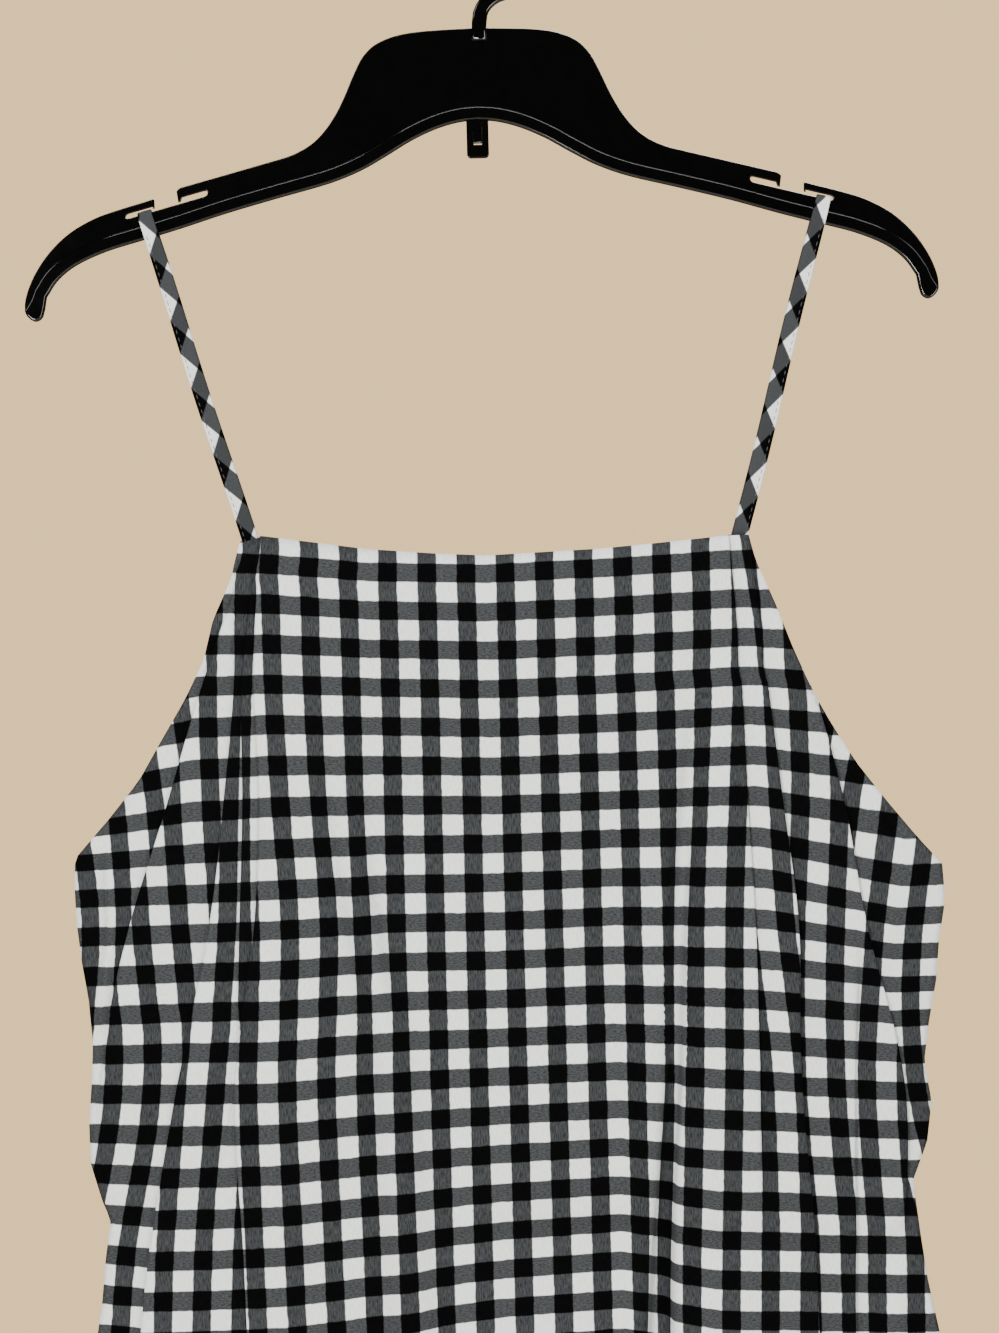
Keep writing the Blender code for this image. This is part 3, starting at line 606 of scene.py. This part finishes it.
def strap_path(name):
    """The middle of the strap from its front end over the hanger to its back end, mm."""
    top_x, neck_x, neck_drop = STRAP_ENDS[name]
    web_top = above_line(abs(top_x - BODY_X))
    clear = WEB / 2 + 0.25 + STRAP_THICK / 2
    lift = 0.25 + STRAP_THICK / 2
    over = [(-STRAP_Y, -7.4), (-STRAP_Y + 0.02, -6.4), (-STRAP_Y + 0.25, -5.2), (-clear - 1.2, -3.7),
            (-clear - 0.35, -2.4), (-clear, -0.9), (-clear + 0.1, 0.0), (-clear + 0.45, lift * 0.6),
            (-clear + 1.0, lift * 0.95), (-0.5, lift)]
    falls = np.linspace(neck_drop + STRAP_TAIL, STRAP_RUN_TOP, STRAP_POINTS)
    runs = np.interp(falls, (STRAP_RUN_TOP, neck_drop), (STRAP_Y, STRAP_NECK_Y))
    runs += 0.25 * np.sin(falls / 17.0)
    profile = [(-run, -web_top - fall) for run, fall in zip(runs, falls)] + over
    profile += [(-y, height) for y, height in reversed(profile)]
    lean = (neck_x - top_x) / neck_drop
    points = []
    for y, height in profile:
        z = web_top + height
        sway = 0.35 * math.sin(-z / 21.0 + (0.6 if top_x < 0 else 2.1))
        points.append((top_x - lean * min(z, 0.0) + sway, y, z - HOOK_TO_NOTCH))
    return [Vector(point) * MM for point in points], lean


for name in STRAP_ENDS:
    points, lean = strap_path(name)
    outer = 1.0 if STRAP_ENDS[name][0] > 0 else -1.0
    around = len(STRAP_SECTION)
    tube = bmesh.new()
    bmesh.ops.create_grid(tube, x_segments=around, y_segments=len(points) - 1, size=1.0)
    tube.verts.ensure_lookup_table()
    run = 0.0
    flat = []
    seam_spots = []
    for row, point in enumerate(points):
        before, after = points[max(row - 1, 0)], points[min(row + 1, len(points) - 1)]
        along = (after - before).normalized()
        steep = min(abs(along.z) * 1.4, 1.0)
        level = Vector((1.0, 0.0, ARM_SLOPE * outer)).normalized()
        leaning = Vector((1.0, 0.0, lean)).normalized()
        across = level.lerp(leaning, steep)
        across = (across - along * across.dot(along)).normalized()
        out = across.cross(along).normalized()
        run = run + (point - before).length / MM if row else 0.0
        web_run = abs(point.z / MM + HOOK_TO_NOTCH) * math.hypot(1.0, lean)
        for column in range(around + 1):
            sideways, thick = STRAP_SECTION[column % around]
            width = STRAP_WIDTH / 2 * (1.0 - 0.10 * math.exp(-web_run / 30.0))
            offset = across * (sideways * outer * width * MM) + out * (thick * STRAP_THICK / 2 * MM)
            tube.verts[row * (around + 1) + column].co = point + offset
            from_edge = (1.0 - sideways) * width
            turns = (web_run - BIAS_START[name]) / BIAS_PERIOD
            flat.append((turns + BIAS_ACROSS[0] * from_edge, turns - BIAS_ACROSS[1] * from_edge))
        if run and (row < STRAP_POINTS or row > len(points) - STRAP_POINTS):
            seam_spots.append((point, along, across * outer, out, width))
    layer = tube.loops.layers.uv.new("weave")
    for face in tube.faces:
        face.smooth = True
        for corner in face.loops:
            corner[layer].uv = flat[corner.vert.index]
    bmesh.ops.remove_doubles(tube, verts=tube.verts[:], dist=0.002 * MM)
    bmesh.ops.holes_fill(tube, edges=[edge for edge in tube.edges if edge.is_boundary], sides=0)
    bmesh.ops.recalc_face_normals(tube, faces=tube.faces[:])
    strap = finished(name + "_cloth", tube)
    strap.data.materials.append(BIAS)
    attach(strap, "root")
    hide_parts(name)
    # edge stitching, on the outer side of the front and back runs and not over the hanger
    spots = []
    for (point, along, across, out, width), next_spot in zip(seam_spots, seam_spots[1:]):
        after = next_spot[0]
        if (after - point).length > STRAP_RUN_TOP * MM:
            continue
        facing = out if (out.y < 0.0) == (point.y < 0.0) else -out
        base = point + across * (width * 0.6 * MM) + facing * (STRAP_THICK * 0.40 * MM)
        spots.append((base + (after - point) * 0.5, along, facing))
    seam = stitches(name + "_edge_stitches", spots)
    seam.data.materials.append(THREAD)
    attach(seam, "root")


# Hanger
# One moulding of gloss black polystyrene: a thin web with a wide rounded flange along its lower
# edge, two strap notches on each arm, a small slotted tab under the middle and a flat hook.
FLANGE = 7.0
FLANGE_HEIGHT = 6.2
HOOK_THICK = 5.0
HOOK_BAND = 7.0
HOOK_RADIUS = 20.0
HOOK_TIP_ANGLE = 200.0
SLOTS = (2.7, 2.3)      # heights of the inner and the outer slot of a notch
SLOT_ENDS = (128.2, 167.3)
SLOT_END = ((1.6, 1.0), (0.8, 0.93), (0.3, 0.75), (0.0, 0.5), (0.3, 0.25), (0.8, 0.07), (1.6, 0.0))
PLATE_TOP = 84.5
HANGER_TOP_EDGE = (
    (0, 84.5), (30, 83.0), (45, 79.0), (53, 72.5), (58, 63.5), (62.5, 53.5), (67, 45), (72.5, 37.3),
    (79, 31.2), (88, 26.6), (100, 23.2), (141.2, 12.5),
)
HANGER_LIPS = (         # the inner lip's hooked tip, then the outer one's: from the middle, above the line
    ((142.2, 6.9), (142.9, 6.2), (142.2, 0.9), (141.0, 0.8), (140.4, 2.7)),
    ((154.4, 2.3), (154.3, 1.3), (153.4, 1.3), (153.5, 5.3), (154.1, 5.8)),
)
HANGER_ARM_EDGE = (
    (158.5, 6.2), (170, 3.0), (182, -1.0), (194, -7.6), (204, -16.8), (211.3, -27.4), (215.2, -37),
    (215.9, -43.5), (214.0, -47.3), (211.0, -48.8), (208.0, -47.2), (206.6, -43.2),
)
HANGER_UNDERSIDE = (
    (205.6, -37.5), (200, -29.5), (191, -22.6), (177, -16.6), (160, -11.8), (140.8, -6.4),
    (119, 0.2), (95, 6.6), (71, 12.8), (56, 18.4), (44, 24.8), (32, 31.8), (20, 37.2), (9, 40.2), (0, 41),
)
TAB_WIDTH = 10.4
TAB_LENGTH = 18.0
TAB_THICK = 4.9
TAB_SLOT = (3.8, 1.0, 6.0)      # wide, high, above the foot


def rounded(points, steps):
    """A line through all the points, curved between them."""
    points = np.array(points, dtype=float)
    padded = np.vstack((2 * points[0] - points[1], points, 2 * points[-1] - points[-2]))
    line = []
    for before, start, end, after in zip(padded, padded[1:], padded[2:], padded[3:]):
        for share in np.arange(steps) / steps:
            line.append(0.5 * (2 * start + (end - before) * share
                               + (2 * before - 5 * start + 4 * end - after) * share ** 2
                               + (3 * start - before - 3 * end + after) * share ** 3))
    return [tuple(point) for point in line] + [tuple(points[-1])]


def offset_line(points, distance):
    """The line moved sideways, to the left of its direction."""
    points = np.array(points)
    along = np.gradient(points, axis=0)
    along /= np.linalg.norm(along, axis=1)[:, None]
    return [tuple(point) for point in points + distance * np.column_stack((-along[:, 1], along[:, 0]))]


def both_sides(half):
    """A closed outline of the body from its right half, which starts and ends on the middle line."""
    left = [(-x, z) for x, z in reversed(half) if x > 0.0]
    return [(x + BODY_X, z - HOOK_TO_NOTCH) for x, z in list(half) + left]


def notch_edge():
    """The inner lip's hook and slot, the open recess, and the outer slot and lip's hook."""
    inner = [(SLOT_ENDS[0] + within, SLOTS[0] * up) for within, up in SLOT_END]
    outer = [(SLOT_ENDS[1] - within, SLOTS[1] * up) for within, up in reversed(SLOT_END)]
    edge = list(HANGER_LIPS[0]) + inner + outer + list(HANGER_LIPS[1])
    return [(x, above_line(x, above)) for x, above in edge]


def moulded(shape, outline, thickness, round_off, steps):
    """Add a flat outline, extruded about the middle plane and rounded along its rims."""
    corners = [shape.verts.new((x * MM, -thickness / 2 * MM, z * MM)) for x, z in outline]
    face = shape.faces.new(corners)
    face.normal_update()
    if face.normal.y > 0.0:
        face.normal_flip()
    grown = bmesh.ops.extrude_face_region(shape, geom=[face])
    moved = [part for part in grown["geom"] if isinstance(part, bmesh.types.BMVert)]
    bmesh.ops.translate(shape, verts=moved, vec=(0.0, thickness * MM, 0.0))
    ends = [part for part in grown["geom"] if isinstance(part, bmesh.types.BMFace)] + [face]
    rims = list({edge for end in ends for edge in end.edges})
    walls = list({near for edge in rims for near in edge.link_faces})
    bmesh.ops.recalc_face_normals(shape, faces=walls)
    bmesh.ops.bevel(shape, geom=rims, offset=round_off * MM, segments=steps, affect="EDGES", profile=0.5,
                    material=-1, clamp_overlap=True)


def moulded_polystyrene(name):
    """Gloss black high-impact polystyrene: a mirror-like moulded skin with faint flow marks, fine
    handling scratches and a very slight orange peel."""
    made = bpy.data.materials.new(name)
    made.use_nodes = True
    tree = made.node_tree
    shader = tree.nodes["Principled BSDF"]
    place = node(tree, "ShaderNodeTexCoord").outputs["Object"]
    peel = node(tree, "ShaderNodeTexNoise", None, Vector=place, Scale=180.0, Detail=2.0)
    scuffs = node(tree, "ShaderNodeTexNoise", None, Vector=place, Scale=45.0, Detail=5.0, Roughness=0.7)
    rough = node(tree, "ShaderNodeMapRange", None, Value=scuffs.outputs["Fac"])
    rough.inputs["From Min"].default_value = 0.35
    rough.inputs["From Max"].default_value = 0.8
    rough.inputs["To Min"].default_value = 0.07
    rough.inputs["To Max"].default_value = 0.12
    tree.links.new(rough.outputs[0], shader.inputs["Roughness"])
    dust = node(tree, "ShaderNodeMix", {"data_type": "RGBA"}, i0=peel.outputs["Fac"], i6=linear("#010101"),
                i7=linear("#030303"))
    tree.links.new(dust.outputs[2], shader.inputs["Base Color"])
    bump = node(tree, "ShaderNodeBump", None, Height=peel.outputs["Fac"], Strength=0.04, Distance=0.08 * MM)
    tree.links.new(bump.outputs[0], shader.inputs["Normal"])
    shader.inputs["IOR"].default_value = 1.57
    shader.inputs["Specular IOR Level"].default_value = 0.45
    return made


body = bmesh.new()
underside = rounded(HANGER_UNDERSIDE, 4)
top_edge = rounded(HANGER_TOP_EDGE, 4)
arm_edge = rounded(HANGER_ARM_EDGE, 4)
moulded(body, both_sides(top_edge + notch_edge() + arm_edge + underside), WEB, 0.45, 2)
flange_low = arm_edge[-17:] + underside
flange_high = offset_line(underside, -FLANGE_HEIGHT)
half_flange = [(0.0, flange_high[-1][1])] + flange_high[-2::-1]
half_flange += [(212.5, -38.5), (215.2, -43.0)] + flange_low
moulded(body, both_sides(half_flange), FLANGE, 1.6, 4)
middle_radius = HOOK_RADIUS + HOOK_BAND / 2
turns = np.radians(np.linspace(HOOK_TIP_ANGLE, -52.0, 56))
centre_line = [(middle_radius * math.cos(turn), middle_radius * math.sin(turn) - HOOK_RADIUS)
               for turn in turns]
plate_top = PLATE_TOP - HOOK_TO_NOTCH
centre_line += [(9.0, plate_top + 15.3), (6.0, plate_top + 13.6), (3.6, plate_top + 11.5), (1.9, plate_top + 9.2),
                (0.8, plate_top + 6.5), (0.2, plate_top + 2.0), (0.0, plate_top - 6.0)]
tip = np.array(centre_line[0])
tip_out = np.array(offset_line(centre_line, HOOK_BAND / 2)[0]) - tip
tip_on = np.array((-tip_out[1], tip_out[0]))
tip_round = [tuple(tip - math.cos(turn) * tip_out + math.sin(turn) * tip_on)
             for turn in np.radians(np.linspace(20.0, 160.0, 8))]
hook_outside = offset_line(centre_line, HOOK_BAND / 2)
hook_inside = offset_line(centre_line, -HOOK_BAND / 2)[::-1]
moulded(body, hook_outside + hook_inside + tip_round, HOOK_THICK, 1.4, 4)
tab_top = HANGER_UNDERSIDE[-1][1] + 2.0 - HOOK_TO_NOTCH
tab_low = HANGER_UNDERSIDE[-1][1] - TAB_LENGTH - HOOK_TO_NOTCH
half = TAB_WIDTH / 2
wide, high, above = TAB_SLOT
slot_low = tab_low + above
moulded(body, [
    (BODY_X - half, slot_low), (BODY_X - half, tab_low + 1.6), (BODY_X - half + 0.5, tab_low + 0.5),
    (BODY_X - half + 1.6, tab_low), (BODY_X + half - 1.6, tab_low), (BODY_X + half - 0.5, tab_low + 0.5),
    (BODY_X + half, tab_low + 1.6), (BODY_X + half, slot_low), (BODY_X + half, tab_top),
    (BODY_X + wide / 2, tab_top), (BODY_X + wide / 2, slot_low), (BODY_X - wide / 2, slot_low),
    (BODY_X - wide / 2, tab_top), (BODY_X - half, tab_top)], TAB_THICK, 0.3, 3)
moulded(body, [
    (BODY_X - half + 0.4, slot_low + high), (BODY_X + half - 0.4, slot_low + high),
    (BODY_X + half - 0.4, tab_top), (BODY_X - half + 0.4, tab_top)], TAB_THICK - 0.1, 0.3, 2)
hanger = finished("hanger_moulding", body)
hanger.data.shade_smooth()
flat_faces = hanger.modifiers.new("flat faces", "WEIGHTED_NORMAL")
flat_faces.weight = 100
flat_faces.keep_sharp = True
hanger.data.materials.append(moulded_polystyrene("gloss_black_polystyrene"))
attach(hanger, "root")
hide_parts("hanger")


# Floor, light and camera
# A plain pale floor below the hanging dress, soft light from the camera's side as in the
# photograph, and the camera level with the chest, turned a little as it was held.
FLOOR_DROP = 60.0
floor_shape = bmesh.new()
bmesh.ops.create_grid(floor_shape, x_segments=1, y_segments=1, size=2.2)
bmesh.ops.translate(floor_shape, verts=floor_shape.verts[:], vec=(0.0, 0.0, cad_box[0][2] - FLOOR_DROP * MM))
floor = finished("floor", floor_shape)
plain = bpy.data.materials.new("pale_floor_paint")
plain.use_nodes = True
plain.node_tree.nodes["Principled BSDF"].inputs["Base Color"].default_value = linear("#DDD6C8")
plain.node_tree.nodes["Principled BSDF"].inputs["Roughness"].default_value = 0.85
floor.data.materials.append(plain)

world = bpy.data.worlds.new("pale_room")
world.use_nodes = True
sky = world.node_tree
room = sky.nodes["Background"]
room.inputs["Color"].default_value = linear("#F2EEE6")
room.inputs["Strength"].default_value = 0.28
dim = node(sky, "ShaderNodeBackground", None, Color=linear("#F2EEE6"), Strength=0.05)
paper = node(sky, "ShaderNodeBackground", None, Color=linear("#F0CC94"), Strength=1.6)
ray = node(sky, "ShaderNodeLightPath")
lit = node(sky, "ShaderNodeMixShader", None, i0=ray.outputs["Is Glossy Ray"], i1=room.outputs[0],
           i2=dim.outputs[0])
either = node(sky, "ShaderNodeMixShader", None, i0=ray.outputs["Is Camera Ray"], i1=lit.outputs[0],
              i2=paper.outputs[0])
sky.links.new(either.outputs[0], sky.nodes["World Output"].inputs["Surface"])
bpy.context.scene.world = world
LAMPS = (               # name, place, width, height, watts
    ("key", (-0.7, -2.0, -0.62), 0.5, 0.7, 42.0),
    ("fill", (0.95, -1.8, -0.65), 0.7, 0.9, 20.0),
    ("top", (0.1, -0.7, 1.1), 1.5, 0.25, 22.0),
    ("upper left", (-1.5, -0.8, 0.8), 0.7, 0.7, 12.0),
    ("upper right", (1.4, -0.8, 0.8), 0.7, 0.7, 8.0),
    ("rear", (0.6, 1.9, 1.0), 1.4, 1.0, 40.0),
)
for name, place, wide, high, power in LAMPS:
    lamp = bpy.data.lights.new(name, "AREA")
    lamp.shape = "RECTANGLE"
    lamp.size = wide
    lamp.size_y = high
    lamp.energy = power
    light = bpy.data.objects.new(name, lamp)
    light.location = place
    light.rotation_euler = (Vector((0.0, 0.0, -0.42)) - Vector(place)).to_track_quat("-Z", "Y").to_euler()
    bpy.context.scene.collection.objects.link(light)

CAMERA_AWAY = 2.2
VIEW_HEIGHT = 0.630     # of the picture at the hanger
VIEW_MIDDLE = (0.0019, -0.3575)
CAMERA_TURN = math.radians(-1.5)
lens = bpy.data.cameras.new("camera")
lens.sensor_fit = "VERTICAL"
lens.sensor_height = 36.0
lens.lens = lens.sensor_height * CAMERA_AWAY / VIEW_HEIGHT
camera = bpy.data.objects.new("camera", lens)
camera.location = (VIEW_MIDDLE[0], -CAMERA_AWAY, VIEW_MIDDLE[1])
level_camera = Euler((math.pi / 2, 0.0, 0.0)).to_matrix()
camera.rotation_euler = (level_camera @ Matrix.Rotation(CAMERA_TURN, 3, "Z")).to_euler()
bpy.context.scene.collection.objects.link(camera)
bpy.context.scene.camera = camera
